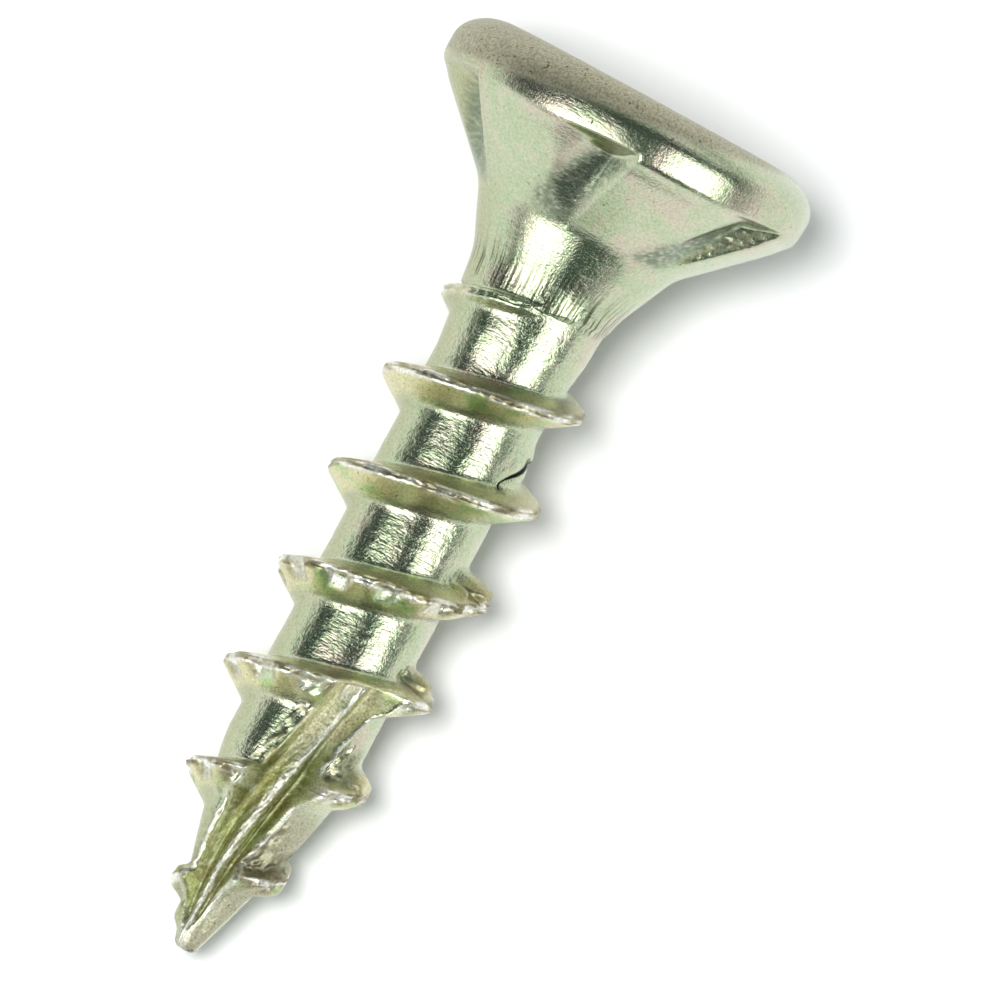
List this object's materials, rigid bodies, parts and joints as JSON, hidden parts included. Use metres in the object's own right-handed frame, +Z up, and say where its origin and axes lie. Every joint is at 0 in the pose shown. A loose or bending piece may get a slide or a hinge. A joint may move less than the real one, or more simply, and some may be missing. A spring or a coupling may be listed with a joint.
{
  "type": "countersunk wood screw",
  "caption": "Short countersunk wood screw with a coarse right-hand thread, cutting pockets under the head and a fluted cutting point; it joins wood or board.",
  "frame": {"origin": "under the middle of the screw on the surface it lies on: the centre of the bounding box's bottom face", "axes": "+X runs along the screw from the point to the head, +Z up; the screw lies on its side, its axis in the XZ plane and rising towards the head"},
  "size_m": [0.0194, 0.008, 0.0079],
  "materials": {
    "zinc_plate": "steel with zinc plate and a pale yellow-green passivated film"
  },
  "bodies": {
    "root": {"screw": "zinc_plate"}
  },
  "joints": []
}
